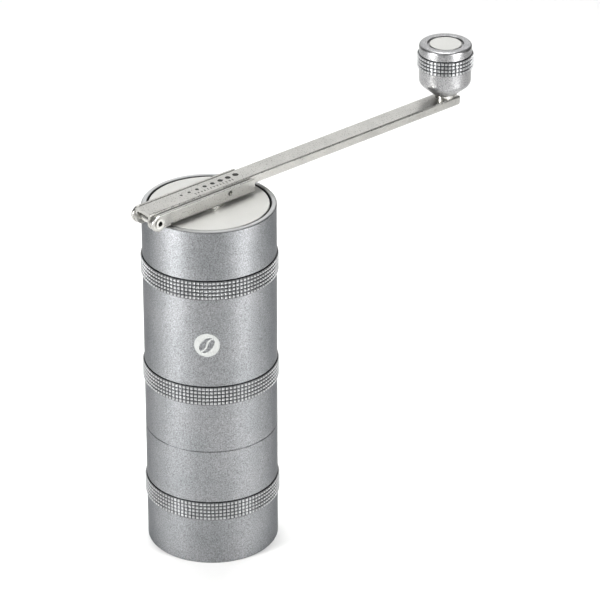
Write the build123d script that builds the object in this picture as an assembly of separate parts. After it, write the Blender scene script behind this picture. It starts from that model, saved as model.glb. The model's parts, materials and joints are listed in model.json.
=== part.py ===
from build123d import *
import os
from math import cos, radians, sin

# Hand crank coffee grinder. Millimetres, +Z up the barrel, origin at the centre of the base.
# The crank arm lies along +X, with its hinge on the -X side and its knob at the +X end.

# ---- Barrel and catch cup ------------------------------------------------------------------------
body_radius = 26.0
body_height = 146.1
cup_height = 50.8
cup_wall = 1.95
cup_floor = 3.0
cup_inner_round = 3.0
base_round = 0.8
barrel_wall = 2.4
rim_wall = 1.95
rim_chamfer = 0.4
rim_inner_chamfer = 0.2
seam_chamfer = 0.25

# Threaded spigot on the barrel that the cup screws onto; threads are drawn as separate rings
spigot_length = 7.0
spigot_wall = 1.6
spigot_clearance = 0.1
thread_pitch = 1.25
thread_depth = 0.45
thread_rings = 4

# Inner shoulder of the barrel, which carries the burr set
shoulder_height = 5.0
shoulder_past_burr = 0.4

# ---- Knurled grip rings: split rings sprung into turned grooves -----------------------------------
ring_height = 8.0
ring_proud = 0.65
ring_depth = 0.7
ring_relief = 0.25
ring_split = 0.4
ring_split_angle = 48.0
cup_ring_above_base = 20.0
middle_ring_above_seam = 20.9
upper_ring_below_rim = 20.6

# ---- Fits -------------------------------------------------------------------------------------
press_gap = 0.02
running_gap = 0.05
free_gap = 0.1
end_float = 0.2

# ---- Ball bearings, 6 x 15 x 5 -------------------------------------------------------------------
bearing_bore = 3.0
bearing_radius = 7.5
bearing_width = 5.0
ball_radius = 1.2
ball_count = 8
race_bite = 0.2
race_groove_gap = 0.05
shield_thickness = 0.25
shield_inset = 0.1
cage_half_width = 0.5
cage_back = 0.7
cage_rise = 0.5

# ---- Drive shaft ---------------------------------------------------------------------------------
shaft_shoulder = 1.0
shaft_thread_radius = 2.5
shaft_flat_depth = 0.7
shaft_hex_across = 5.0
shaft_chamfer = 0.4
hex_gap = 0.1

# ---- Burr set ------------------------------------------------------------------------------------
outer_burr_radius = 19.0
outer_burr_height = 11.0
outer_burr_wall_top = 4.4
outer_burr_wall_knee = 3.4
outer_burr_knee_height = 3.0
outer_burr_wall_mouth = 2.4
outer_burr_teeth = 30
carrier_lip = 1.5
carrier_lip_width = 1.4
inner_burr_height = 11.2
inner_burr_drop = 1.0
inner_burr_land = 1.2
inner_burr_gap = 0.3
inner_burr_flare = 4.5
inner_burr_waist_height = 7.2
inner_burr_top_wall = 1.85
inner_burr_teeth = 30
breaker_count = 5
tooth_depth = 0.8
tooth_half_width = 0.75
breaker_depth = 2.2
breaker_half_width = 1.7
breaker_lean = 4.0
breaker_offset = 1.0
cutter_overrun = 0.5

# Spring that holds the inner burr down on its adjuster
spring_wire = 0.45
spring_coil_radius = 4.6
spring_turns = 4
spring_seat_depth = 5.9
spring_washer_thickness = 0.5
spring_washer_radius = 5.2

# ---- Grind adjuster ------------------------------------------------------------------------------
dial_radius = 9.5
dial_height = 7.5
dial_flutes = 12
dial_flute_radius = 1.1
dial_chamfer = 0.5
click_plate_rim = 2.4
click_plate_thickness = 1.5
click_circle = 6.2
click_count = 12
click_ball_radius = 0.95
click_dimple_depth = 0.35
click_pocket_depth = 5.0
click_spring_wire = 0.14
click_spring_turns = 6
burr_travel = 1.6
shaft_tail = 0.45

# ---- Bearing bridges -----------------------------------------------------------------------------
bridge_hub_wall = 2.1
bridge_spokes = 3
first_spoke_angle = 90.0
bridge_spoke_width = 4.0
bridge_spoke_height = 4.0
bridge_spoke_root = 0.7
bridge_lip = 1.5
bridge_lip_width = 1.3
upper_bridge_sleeve = 1.45
upper_bridge_sleeve_height = 13.0
upper_bridge_hub_drop = 1.5
lower_bridge_rim_height = 3.0
lower_bridge_rim_overlap = 1.0
lower_bearing_recess = 1.0
bridge_screw_radius = 1.25
bridge_screw_head_radius = 2.1
bridge_screw_head_height = 1.6
bridge_screw_depth = 4.0
screw_socket_across = 2.0
screw_socket_depth = 1.0

# ---- Lid -----------------------------------------------------------------------------------------
lid_gap = 0.75
lid_recess = 0.15
lid_edge = 1.2
lid_chamfer = 0.2
lid_thickness = 2.4
lid_groove_depth = 1.0
lid_groove_height = 2.2
lid_flange = 1.4
lid_skirt = 2.8
seal_lip = 0.4
lid_boss_wall = 2.25
lid_boss_drop = 0.6
bush_wall = 0.8
bush_flange_width = 0.35
bush_flange = 0.8

# ---- Crank hub and bracket -----------------------------------------------------------------------
hub_radius = 4.6
hub_flange_width = 1.2
hub_above_bearing = 1.0
hub_socket_depth = 8.0
hub_boss_radius = 2.6
hub_boss_flat_half = 2.0
hub_boss_short = 0.1
clip_groove_depth = 0.7
clip_thickness = 0.7
clip_width = 2.4
clip_mouth_angle = 100.0
hub_screw_radius = 1.25
hub_screw_head_radius = 2.95
hub_screw_head_height = 1.6
hub_screw_length = 6.0
bracket_lift = 0.9
bracket_sheet = 1.4
bracket_height = 5.7
bracket_end = 17.7
bracket_ear_length = 5.5
bracket_bend = 0.9
bracket_edge_round = 0.45
hinge_overhang = 3.8
hinge_above_floor = 2.3
detent_x = 5.3
detent_height = 3.7
detent_hole_radius = 1.0
detent_bump_radius = 0.85
detent_bump_offset = 0.1

# ---- Crank arm -----------------------------------------------------------------------------------
arm_width = 8.8
arm_side_gap = 0.7
arm_sheet = 1.2
arm_height = 3.6
arm_above_bracket = 0.5
arm_heel = 2.9
arm_tail = 4.4
arm_ear_radius = 3.2
arm_bend = 0.7
arm_edge_round = 0.3
arm_end_round = 1.2
arm_foot_start = 8.0
arm_foot_end = 15.0

# Inside radius of a sheet bend as a share of its outside radius
inner_bend_share = 0.3

# Hinge of the arm: a tubular rivet with two washers
rivet_radius = 1.75
rivet_bore = 1.0
rivet_lip_width = 0.3
rivet_lip = 0.4
rivet_gap = 0.03
washer_width = 1.3

# ---- Knob ----------------------------------------------------------------------------------------
knob_x = 124.8
axle_radius = 2.5
axle_tenon_radius = 2.0
axle_head_radius = 2.8
axle_head = 0.7
axle_collar_radius = 4.05
axle_collar = 1.5
axle_length = 17.0
knob_float = 0.15
knob_height = 21.4
knob_radius = 10.6
knob_lower_step = 0.1
knob_neck_radius = 5.0
knob_cone_rise = 4.7
knob_cone_round = 3.2
knob_band_proud = 0.7
knob_band_height = 6.3
knob_band_top = 17.6
knob_shoulder_round = 1.2
knob_bush_wall = 1.45
knob_bush_length = 5.0
knob_bore_gap = 0.5
knob_counterbore_gap = 0.8
cap_radius = 6.45
cap_thickness = 1.3
cap_groove_width = 0.9
cap_groove_depth = 0.9
cap_recess = 0.15
knob_screw_radius = 1.25
knob_screw_head_radius = 2.3
knob_screw_head_height = 1.3
knob_screw_length = 6.0
knob_washer_radius = 3.8
knob_washer_thickness = 0.6

# ---- Levels and radii worked out from the sizes above ---------------------------------------------
up = (Align.CENTER, Align.CENTER, Align.MIN)

cup_bore = body_radius - cup_wall
barrel_bore = body_radius - barrel_wall
rim_bore = body_radius - rim_wall
spigot_radius = cup_bore - spigot_clearance
spigot_bore = spigot_radius - spigot_wall
spigot_bottom = cup_height - spigot_length
shoulder_top = cup_height + shoulder_height
shoulder_radius = outer_burr_radius - shoulder_past_burr

cup_ring_top = cup_ring_above_base + ring_height
middle_ring_top = cup_height + middle_ring_above_seam + ring_height
upper_ring_top = body_height - upper_ring_below_rim

bearing_pitch_radius = (bearing_bore + bearing_radius) / 2
race_thickness = (bearing_radius - bearing_bore) / 2 - ball_radius + race_bite
bridge_hub_radius = bearing_radius + bridge_hub_wall
bridge_lip_radius = bearing_radius - bridge_lip_width
shaft_middle_radius = bearing_bore + shaft_shoulder
shaft_flat_half = bearing_bore - shaft_flat_depth

outer_burr_throat = outer_burr_radius - outer_burr_wall_top
outer_burr_knee = outer_burr_radius - outer_burr_wall_knee
outer_burr_mouth = outer_burr_radius - outer_burr_wall_mouth
carrier_lip_radius = outer_burr_radius - carrier_lip_width
lower_bridge_rim_radius = outer_burr_radius - lower_bridge_rim_overlap
bridge_screw_circle = (outer_burr_radius + barrel_bore) / 2
burr_seat = shoulder_top + carrier_lip
burr_top = burr_seat + outer_burr_height
spring_seat_radius = spring_coil_radius + spring_wire + free_gap
inner_burr_bottom = burr_seat - inner_burr_drop
inner_burr_top = inner_burr_bottom + inner_burr_height
inner_burr_radius = outer_burr_mouth - inner_burr_gap
inner_burr_waist_radius = inner_burr_radius - inner_burr_flare
inner_burr_top_radius = spring_seat_radius + inner_burr_top_wall
click_plate_bottom = inner_burr_bottom - click_plate_thickness
click_plate_radius = click_circle + click_plate_rim
dial_top = click_plate_bottom - running_gap
dial_bottom = dial_top - dial_height
shaft_bottom = dial_bottom - burr_travel - shaft_tail

lower_bearing_bottom = burr_top + lower_bearing_recess
lower_bearing_top = lower_bearing_bottom + bearing_width
lower_hub_top = lower_bearing_top + bridge_lip
lower_rim_top = burr_top + lower_bridge_rim_height

lid_radius = rim_bore - lid_gap
lid_groove_radius = lid_radius - lid_groove_depth
lid_hollow_radius = lid_radius - lid_skirt
lid_top = body_height - lid_recess
lid_bottom = lid_top - lid_edge - lid_groove_height - lid_flange
upper_sleeve_bottom = lid_bottom - upper_bridge_sleeve_height
upper_sleeve_radius = rim_bore - upper_bridge_sleeve
upper_bearing_bottom = upper_sleeve_bottom
upper_bearing_top = upper_bearing_bottom + bearing_width

hub_bottom = upper_bearing_top + hub_above_bearing
hub_socket_top = hub_bottom + hub_socket_depth
hub_flange_radius = hub_radius + hub_flange_width
shaft_top = hub_socket_top - end_float
bush_bore = hub_radius + running_gap
bush_radius = bush_bore + bush_wall
bush_flange_radius = bush_radius + bush_flange_width
lid_boss_radius = bush_radius + lid_boss_wall
lid_boss_bottom = lid_bottom - lid_boss_drop
clip_groove_top = lid_boss_bottom - end_float
clip_groove_radius = hub_radius - clip_groove_depth
clip_radius = clip_groove_radius + clip_width

bracket_inner_half = arm_width / 2 + arm_side_gap
bracket_half = bracket_inner_half + bracket_sheet
bracket_bottom = body_height + bracket_lift
bracket_floor_top = bracket_bottom + bracket_sheet
bracket_top = bracket_bottom + bracket_height
hinge_x = -body_radius - hinge_overhang
hinge_z = bracket_bottom + hinge_above_floor
bracket_floor_start = hinge_x + bracket_ear_length
bracket_ear_radius = bracket_top - hinge_z
arm_top = bracket_top + arm_above_bracket
arm_bottom = arm_top - arm_height
arm_start = hinge_x - arm_heel
arm_end = knob_x + arm_tail
detent_z = bracket_bottom + detent_height
rivet_lip_radius = rivet_radius + rivet_lip_width
washer_radius = rivet_radius + washer_width

collar_top = arm_top + axle_collar
axle_top = collar_top + axle_length
knob_bottom = collar_top + knob_float
knob_top = knob_bottom + knob_height
knob_lower_radius = knob_radius - knob_lower_step
knob_band_radius = knob_radius + knob_band_proud
knob_bush_radius = axle_radius + running_gap + knob_bush_wall
knob_bore = axle_radius + knob_bore_gap
upper_bush_top = axle_top - end_float
upper_bush_bottom = upper_bush_top - knob_bush_length
cap_seat = knob_top - cap_recess - cap_thickness
cap_groove_radius = cap_radius + cap_groove_width


# ---- Shape helpers -------------------------------------------------------------------------------
def tube(inner, outer, bottom, top):
    """A plain ring about Z between two heights."""
    height = top - bottom
    body = Cylinder(outer, height, align=up)
    if inner > 0:
        body -= Cylinder(inner, height, align=up)
    return Pos(0, 0, bottom) * body


def turned(*outline):
    """A solid turned about Z from its outline of (radius, height) points."""
    face = make_face(Polyline(*outline, close=True))
    return revolve(Plane.XZ * face, axis=Axis.Z)


def around(shape, count, start=0.0):
    """The same shape repeated evenly about Z."""
    return [Rot(0, 0, start + 360 * i / count) * shape for i in range(count)]


def hex_bar(across, bottom, top):
    """A hexagonal bar about Z, with flats facing +X and -X."""
    face = RegularPolygon(across / 2, 6, major_radius=False, rotation=30)
    return Pos(0, 0, bottom) * extrude(face, top - bottom)


def flatted_bar(radius, flat_half, bottom, top):
    """A round bar about Z with two parallel flats, which face +Y and -Y."""
    height = top - bottom
    bar = Cylinder(radius, height, align=up) & Box(2 * radius, 2 * flat_half, height, align=up)
    return Pos(0, 0, bottom) * bar


def side_plate(outline, y_low, y_high):
    """A plate cut to an outline in X and Z and given its thickness along Y."""
    return extrude(Plane((0, y_high, 0), x_dir=(1, 0, 0), z_dir=(0, -1, 0)) * outline, y_high - y_low)


def cross_pin(radius, x, z, y_low, y_high):
    """A round bar along Y."""
    return side_plate(Pos(x, z) * Circle(radius), y_low, y_high)


def box_between(x_low, x_high, y_low, y_high, z_low, z_high):
    """A box given by its limits."""
    size = (x_high - x_low, y_high - y_low, z_high - z_low)
    corner = (Align.MIN, Align.MIN, Align.MIN)
    return Pos(x_low, y_low, z_low) * Box(*size, align=corner)


def coil(wire, radius, bottom, top, turns):
    """A closed coil spring about Z, its wire just inside the two heights."""
    height = top - bottom - 2 * wire
    path = Pos(0, 0, bottom + wire) * Helix(height / turns, height, radius)
    section = Plane(path @ 0, z_dir=path % 0) * Circle(wire)
    return sweep(section, path=path)


# ---- Barrel and catch cup ------------------------------------------------------------------------
def thread_grooves(inner, outer, first):
    """Cutters for the thread rings, between two radii."""
    grooves = []
    for i in range(thread_rings):
        middle = first + thread_pitch * i
        grooves.append(
            turned(
                (inner, middle - thread_pitch / 2),
                (outer, middle),
                (inner, middle + thread_pitch / 2),
            )
        )
    return grooves


def ring_groove(top):
    """The groove that a grip ring sits in, with the relief above the ring."""
    bottom = top - ring_height
    return tube(body_radius - ring_depth, body_radius + ring_proud, bottom, top + ring_relief)


def catch_cup():
    """Cup that catches the ground coffee and forms the base."""
    body = turned(
        (0, 0),
        (body_radius, 0),
        (body_radius, cup_height - seam_chamfer),
        (body_radius - seam_chamfer, cup_height),
        (cup_bore, cup_height),
        (cup_bore, cup_floor),
        (0, cup_floor),
    )
    circles = body.edges().filter_by(GeomType.CIRCLE)
    body = fillet(circles.sort_by(Axis.Z)[0], base_round)
    circles = body.edges().filter_by(GeomType.CIRCLE)
    body = fillet(circles.filter_by_position(Axis.Z, cup_floor, cup_floor), cup_inner_round)
    body -= ring_groove(cup_ring_top)
    first = cup_height - seam_chamfer - 2 * thread_pitch - thread_pitch * (thread_rings - 1)
    for groove in thread_grooves(cup_bore, cup_bore + thread_depth, first):
        body -= groove
    return body


def barrel():
    """Outer tube: hopper above the burrs, spigot below, and the shoulder between them."""
    body = turned(
        (spigot_bore, spigot_bottom),
        (spigot_radius, spigot_bottom),
        (spigot_radius, cup_height),
        (body_radius - seam_chamfer, cup_height),
        (body_radius, cup_height + seam_chamfer),
        (body_radius, body_height - rim_chamfer),
        (body_radius - rim_chamfer, body_height),
        (rim_bore + rim_inner_chamfer, body_height),
        (rim_bore, body_height - rim_inner_chamfer),
        (rim_bore, upper_sleeve_bottom),
        (barrel_bore, upper_sleeve_bottom),
        (barrel_bore, shoulder_top),
        (shoulder_radius, shoulder_top),
        (shoulder_radius, cup_height),
        (spigot_bore, cup_height),
    )
    for top in (middle_ring_top, upper_ring_top):
        body -= ring_groove(top)
    first = spigot_bottom + thread_pitch
    for groove in thread_grooves(spigot_radius, spigot_radius - thread_depth, first):
        body -= groove
    hole = tube(0, bridge_screw_radius, shoulder_top - bridge_screw_depth, shoulder_top)
    for cut in around(Pos(bridge_screw_circle, 0, 0) * hole, bridge_spokes, first_spoke_angle):
        body -= cut
    return body


def grip_ring(top):
    """Split grip ring, out to the crests of its knurl."""
    outer = body_radius + ring_proud
    ring = tube(body_radius - ring_depth + press_gap, outer, top - ring_height, top)
    slit = box_between(0, 2 * outer, -ring_split / 2, ring_split / 2, top - ring_height, top)
    return ring - Rot(0, 0, ring_split_angle) * slit


# ---- Bearings ------------------------------------------------------------------------------------
def bearing(bottom):
    """The pieces of one shielded ball bearing, by name."""
    middle = bottom + bearing_width / 2
    top = bottom + bearing_width
    groove = Pos(0, 0, middle) * Torus(bearing_pitch_radius, ball_radius + race_groove_gap)
    outer_inside = bearing_radius - race_thickness
    inner_outside = bearing_bore + race_thickness
    ball = Pos(bearing_pitch_radius, 0, middle) * Sphere(ball_radius)
    pocket = Pos(bearing_pitch_radius, 0, middle) * Sphere(ball_radius + race_groove_gap)
    cage = tube(
        bearing_pitch_radius - cage_half_width,
        bearing_pitch_radius + cage_half_width,
        middle - ball_radius - cage_back,
        middle + cage_rise,
    )
    for cut in around(pocket, ball_count):
        cage -= cut
    shield_low = bottom + shield_inset
    shield_high = top - shield_inset
    inner_edge = inner_outside + end_float
    return {
        "outer_race": tube(outer_inside, bearing_radius, bottom, top) - groove,
        "inner_race": tube(bearing_bore, inner_outside, bottom, top) - groove,
        "balls": Compound(around(ball, ball_count)),
        "cage": cage,
        "shields": Compound(
            [
                tube(inner_edge, outer_inside, shield_low, shield_low + shield_thickness),
                tube(inner_edge, outer_inside, shield_high - shield_thickness, shield_high),
            ]
        ),
    }


# ---- Bridges and burr carrier --------------------------------------------------------------------
def spokes(reach, bottom, top):
    """Spokes from the hub out to a radius."""
    half = bridge_spoke_width / 2
    start = bridge_hub_radius - bridge_spoke_root
    bar = box_between(start, reach + bridge_spoke_root, -half, half, bottom, top)
    return around(bar, bridge_spokes, first_spoke_angle)


def upper_bridge():
    """Spider with a tall sleeve in the barrel's mouth; it holds the upper bearing and seats the lid."""
    outer = rim_bore - press_gap
    body = tube(upper_sleeve_radius, outer, upper_sleeve_bottom, lid_bottom)
    hub_low = upper_bearing_bottom - upper_bridge_hub_drop
    body += tube(bridge_lip_radius, bridge_hub_radius, hub_low, upper_bearing_top)
    spoke_top = upper_sleeve_bottom + bridge_spoke_height
    for bar in spokes(upper_sleeve_radius, upper_sleeve_bottom, spoke_top):
        body += bar
    body -= tube(0, bearing_radius + press_gap, upper_bearing_bottom, upper_bearing_top)
    return body


def lower_bridge():
    """Spider on top of the burr carrier; it holds the lower bearing and clamps the outer burr."""
    outer = barrel_bore - free_gap
    body = tube(lower_bridge_rim_radius, outer, burr_top, lower_rim_top)
    body += tube(bridge_lip_radius, bridge_hub_radius, burr_top, lower_hub_top)
    for bar in spokes(lower_bridge_rim_radius, burr_top, burr_top + bridge_spoke_height):
        body += bar
    body -= tube(0, bearing_radius + press_gap, burr_top, lower_bearing_top)
    hole = tube(0, bridge_screw_radius + free_gap, burr_top, lower_rim_top)
    for cut in around(Pos(bridge_screw_circle, 0, 0) * hole, bridge_spokes, first_spoke_angle):
        body -= cut
    return body


def burr_carrier():
    """Ring on the barrel's shoulder that centres the outer burr."""
    body = turned(
        (carrier_lip_radius, shoulder_top),
        (barrel_bore - free_gap, shoulder_top),
        (barrel_bore - free_gap, burr_top),
        (outer_burr_radius + press_gap, burr_top),
        (outer_burr_radius + press_gap, burr_seat),
        (carrier_lip_radius, burr_seat),
    )
    hole = tube(0, bridge_screw_radius + free_gap, shoulder_top, burr_top)
    for cut in around(Pos(bridge_screw_circle, 0, 0) * hole, bridge_spokes, first_spoke_angle):
        body -= cut
    return body


def cap_screw(radius, head_radius, head_height, under_head, tip):
    """A socket head screw about Z."""
    head_top = under_head + head_height
    screw = tube(0, radius, tip, under_head) + tube(0, head_radius, under_head, head_top)
    socket = hex_bar(screw_socket_across, head_top - screw_socket_depth, head_top)
    return screw - socket


def bridge_screws():
    """The screws that clamp lower bridge, carrier and barrel shoulder together."""
    tip = shoulder_top - bridge_screw_depth + end_float
    shank = bridge_screw_radius - press_gap
    screw = cap_screw(shank, bridge_screw_head_radius, bridge_screw_head_height, lower_rim_top, tip)
    return Compound(around(Pos(bridge_screw_circle, 0, 0) * screw, bridge_spokes, first_spoke_angle))


# ---- Burrs, spring and adjuster ------------------------------------------------------------------
def tooth_cutter(half_width, depth, foot, head, lean=0.0):
    """A V-shaped bar whose root lies outside (depth > 0) or inside (depth < 0) a cone's side."""
    run = Vector(head[0] - foot[0], lean, head[1] - foot[1])
    start = Vector(foot[0], 0, foot[1]) - run * cutter_overrun
    mouth = start.X - depth
    root = start.X + depth
    face = make_face(Polyline((mouth, -2 * half_width), (root, 0), (mouth, 2 * half_width), close=True))
    length = run.length * (1 + 2 * cutter_overrun)
    return extrude(Pos(0, start.Y, start.Z) * face, length, dir=run.normalized())


def outer_burr():
    """Fixed ring burr, toothed inside."""
    knee = burr_seat + outer_burr_knee_height
    body = turned(
        (outer_burr_mouth, burr_seat),
        (outer_burr_radius, burr_seat),
        (outer_burr_radius, burr_top),
        (outer_burr_throat, burr_top),
        (outer_burr_knee, knee),
    )
    foot = (outer_burr_mouth, burr_seat)
    head = (outer_burr_throat, burr_top)
    cutter = tooth_cutter(tooth_half_width / 2, tooth_depth, foot, head)
    for cut in around(cutter, outer_burr_teeth):
        body -= cut
    return body


def inner_burr():
    """Conical burr with fine teeth below, breaker flutes above and a seat for its spring."""
    waist = inner_burr_bottom + inner_burr_waist_height
    land = inner_burr_bottom + inner_burr_land
    body = turned(
        (0, inner_burr_bottom),
        (inner_burr_radius, inner_burr_bottom),
        (inner_burr_radius, land),
        (inner_burr_waist_radius, waist),
        (inner_burr_top_radius, inner_burr_top),
        (0, inner_burr_top),
    )
    foot = (inner_burr_radius, land)
    head = (inner_burr_waist_radius, waist)
    fine = tooth_cutter(tooth_half_width / 2, -tooth_depth, foot, head)
    for cut in around(fine, inner_burr_teeth):
        body -= cut
    foot = (inner_burr_waist_radius + breaker_offset, waist)
    head = (inner_burr_top_radius + breaker_offset, inner_burr_top)
    breaker = tooth_cutter(breaker_half_width / 2, -breaker_depth, foot, head, breaker_lean)
    for cut in around(breaker, breaker_count):
        body -= cut
    body -= tube(0, spring_seat_radius, inner_burr_top - spring_seat_depth, inner_burr_top)
    body -= flatted_bar(
        bearing_bore + running_gap, shaft_flat_half + running_gap, inner_burr_bottom, inner_burr_top
    )
    return body


def burr_spring():
    """Compression spring between the lower bearing's washer and the inner burr."""
    bottom = inner_burr_top - spring_seat_depth
    top = lower_bearing_bottom - spring_washer_thickness
    return coil(spring_wire, spring_coil_radius, bottom, top, spring_turns)


def spring_washer():
    """Flat washer between the spring and the lower bearing's inner race."""
    bottom = lower_bearing_bottom - spring_washer_thickness
    return tube(bearing_bore + running_gap, spring_washer_radius, bottom, lower_bearing_bottom)


def click_plate():
    """Disc under the inner burr, dimpled for the adjuster's click balls."""
    body = tube(0, click_plate_radius, click_plate_bottom, inner_burr_bottom)
    body -= flatted_bar(
        bearing_bore + running_gap, shaft_flat_half + running_gap, click_plate_bottom, inner_burr_bottom
    )
    centre = click_plate_bottom - click_ball_radius + click_dimple_depth
    dimple = Pos(click_circle, 0, centre) * Sphere(click_ball_radius)
    for cut in around(dimple, click_count):
        body -= cut
    return body


def adjuster_dial():
    """Fluted nut on the end of the shaft that sets the grind."""
    body = Pos(0, 0, dial_bottom) * Cylinder(dial_radius, dial_height, align=up)
    body = chamfer(body.edges().group_by(Axis.Z)[0], dial_chamfer)
    flute = Pos(dial_radius + dial_flute_radius / 2, 0, dial_bottom) * Cylinder(
        dial_flute_radius, dial_height, align=up
    )
    for cut in around(flute, dial_flutes, 180 / dial_flutes):
        body -= cut
    body -= tube(0, shaft_thread_radius + running_gap, dial_bottom, dial_top)
    pocket = tube(0, click_ball_radius + running_gap, dial_top - click_pocket_depth, dial_top)
    for cut in around(Pos(click_circle, 0, 0) * pocket, 2):
        body -= cut
    return body


def click_balls():
    """The two detent balls, pressed down level with the dial's face."""
    ball = Pos(click_circle, 0, dial_top - click_ball_radius) * Sphere(click_ball_radius)
    return Compound(around(ball, 2))


def click_springs():
    """The two small springs under the detent balls."""
    bottom = dial_top - click_pocket_depth
    top = dial_top - 2 * click_ball_radius
    radius = click_ball_radius - click_spring_wire - running_gap
    spring = coil(click_spring_wire, radius, bottom, top, click_spring_turns)
    return Compound(around(Pos(click_circle, 0, 0) * spring, 2))


def drive_shaft():
    """Shaft: hexagon for the crank, two journals, and flats for the burr down to the end of its tail."""
    journal = bearing_bore - press_gap
    body = tube(0, shaft_middle_radius, lower_bearing_top, upper_bearing_bottom)
    body += tube(0, journal, upper_bearing_bottom, hub_bottom - hub_above_bearing / 2)
    body += tube(0, journal, inner_burr_top, lower_bearing_top)
    body += flatted_bar(journal, shaft_flat_half, click_plate_bottom, inner_burr_top)
    reach = shaft_thread_radius
    tail = tube(0, reach, shaft_bottom, click_plate_bottom)
    tail = chamfer(tail.edges().group_by(Axis.Z)[0], shaft_chamfer)
    flats = box_between(-reach, reach, -shaft_flat_half, shaft_flat_half, shaft_bottom, click_plate_bottom)
    body += tail & flats
    body += hex_bar(shaft_hex_across, hub_bottom - hub_above_bearing / 2, shaft_top)
    return chamfer(body.edges().group_by(Axis.Z)[-1], shaft_chamfer)


# ---- Lid -----------------------------------------------------------------------------------------
def lid_plate():
    """Lid turned from plate, with a groove for its seal and a boss for the crank's bush."""
    groove_top = lid_top - lid_edge
    groove_bottom = lid_bottom + lid_flange
    hollow_top = lid_top - lid_thickness
    flange_seat = lid_top - bush_flange
    return turned(
        (bush_radius + press_gap, lid_boss_bottom),
        (lid_boss_radius, lid_boss_bottom),
        (lid_boss_radius, hollow_top),
        (lid_hollow_radius, hollow_top),
        (lid_hollow_radius, lid_bottom),
        (lid_radius, lid_bottom),
        (lid_radius, groove_bottom),
        (lid_groove_radius, groove_bottom),
        (lid_groove_radius, groove_top),
        (lid_radius, groove_top),
        (lid_radius, lid_top - lid_chamfer),
        (lid_radius - lid_chamfer, lid_top),
        (bush_flange_radius + press_gap, lid_top),
        (bush_flange_radius + press_gap, flange_seat),
        (bush_radius + press_gap, flange_seat),
    )


def lid_seal():
    """Soft ring in the lid's groove, with a lip on each side."""
    top = lid_top - lid_edge
    bottom = lid_bottom + lid_flange
    lip_radius = rim_bore - free_gap
    waist_radius = (lid_radius + lip_radius) / 2
    middle = (top + bottom) / 2
    return turned(
        (lid_groove_radius, bottom),
        (lid_radius, bottom),
        (lip_radius, bottom + seal_lip),
        (waist_radius, middle),
        (lip_radius, top - seal_lip),
        (lid_radius, top),
        (lid_groove_radius, top),
    )


def lid_bush():
    """Flanged bush that the crank's hub turns in."""
    body = tube(bush_bore, bush_radius, lid_boss_bottom, lid_top)
    return body + tube(bush_bore, bush_flange_radius, lid_top - bush_flange, lid_top)


# ---- Crank ---------------------------------------------------------------------------------------
def crank_hub():
    """Hub under the crank: a flanged post with a hexagonal socket for the shaft."""
    flange_bottom = lid_top + running_gap
    boss_top = bracket_floor_top - hub_boss_short
    body = tube(0, hub_radius, hub_bottom, flange_bottom)
    body += tube(0, hub_flange_radius, flange_bottom, bracket_bottom)
    body += flatted_bar(hub_boss_radius, hub_boss_flat_half, bracket_bottom, boss_top)
    groove_bottom = clip_groove_top - clip_thickness - running_gap
    body -= tube(clip_groove_radius, 2 * hub_radius, groove_bottom, clip_groove_top)
    body -= hex_bar(shaft_hex_across + 2 * hex_gap, hub_bottom, hub_socket_top)
    body -= tube(0, hub_screw_radius, bracket_floor_top - hub_screw_length, boss_top)
    return body


def hub_clip():
    """Open retaining clip that keeps the hub in its bush."""
    top = clip_groove_top - running_gap / 2
    bottom = top - clip_thickness
    ring = tube(clip_groove_radius + press_gap, clip_radius, bottom, top)
    half = radians(clip_mouth_angle / 2)
    far = 2 * clip_radius
    side = (far * cos(half), far * sin(half))
    mouth = make_face(Polyline((0, 0), side, (side[0], -side[1]), close=True))
    return ring - Pos(0, 0, bottom) * extrude(mouth, clip_thickness)


def hub_screw():
    """Screw that clamps the bracket to the hub."""
    tip = bracket_floor_top - hub_screw_length + end_float
    shank = hub_screw_radius - press_gap
    return cap_screw(shank, hub_screw_head_radius, hub_screw_head_height, bracket_floor_top, tip)


def channel_section(width, height, sheet, bend, edge_round):
    """Section of a folded channel, open at the top, with its base on the X axis."""
    outer = Pos(0, height / 2) * Rectangle(width, height)
    inner = Pos(0, height / 2 + sheet) * Rectangle(width - 2 * sheet, height)
    outer = fillet(outer.vertices().group_by(Axis.Y)[0], bend)
    inner = fillet(inner.vertices().group_by(Axis.Y)[0], bend * inner_bend_share)
    section = outer - inner
    return fillet(section.vertices().group_by(Axis.Y)[-1], edge_round)


def channel_between(section, x_low, x_high, base_level, opens_up=True):
    """A length of channel along X with the outside of its base at a level."""
    turn = 1 if opens_up else -1
    plane = Plane((x_low, 0, base_level), x_dir=(0, turn, 0), z_dir=(1, 0, 0))
    return extrude(plane * section, x_high - x_low)


def plates(outline, inner, outer):
    """Two equal plates, one each side of the XZ plane."""
    return side_plate(outline, inner, outer) + side_plate(outline, -outer, -inner)


def rectangle_between(x_low, x_high, z_low, z_high):
    """A rectangle in X and Z given by its limits."""
    return Pos((x_low + x_high) / 2, (z_low + z_high) / 2) * Rectangle(x_high - x_low, z_high - z_low)


def crank_bracket():
    """Folded sheet channel, open at the top, that the arm lies in; its two ears hold the hinge."""
    half = bracket_half
    width = 2 * bracket_half
    section = channel_section(width, bracket_height, bracket_sheet, bracket_bend, bracket_edge_round)
    body = channel_between(section, bracket_floor_start, bracket_end, bracket_bottom)
    ears = rectangle_between(hinge_x, bracket_floor_start, bracket_bottom, bracket_top)
    ears += Pos(hinge_x, hinge_z) * Circle(bracket_ear_radius)
    ears = plates(ears, bracket_inner_half, half)
    ears = fillet(ears.edges().filter_by(Axis.X).group_by(Axis.Z)[-1], bracket_edge_round)
    body += ears
    body -= flatted_bar(
        hub_boss_radius + press_gap, hub_boss_flat_half + press_gap, bracket_bottom, bracket_floor_top
    )
    body -= cross_pin(rivet_radius + rivet_gap, hinge_x, hinge_z, -half, half)
    body -= cross_pin(detent_hole_radius, detent_x, detent_z, -half, half)
    return body


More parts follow.
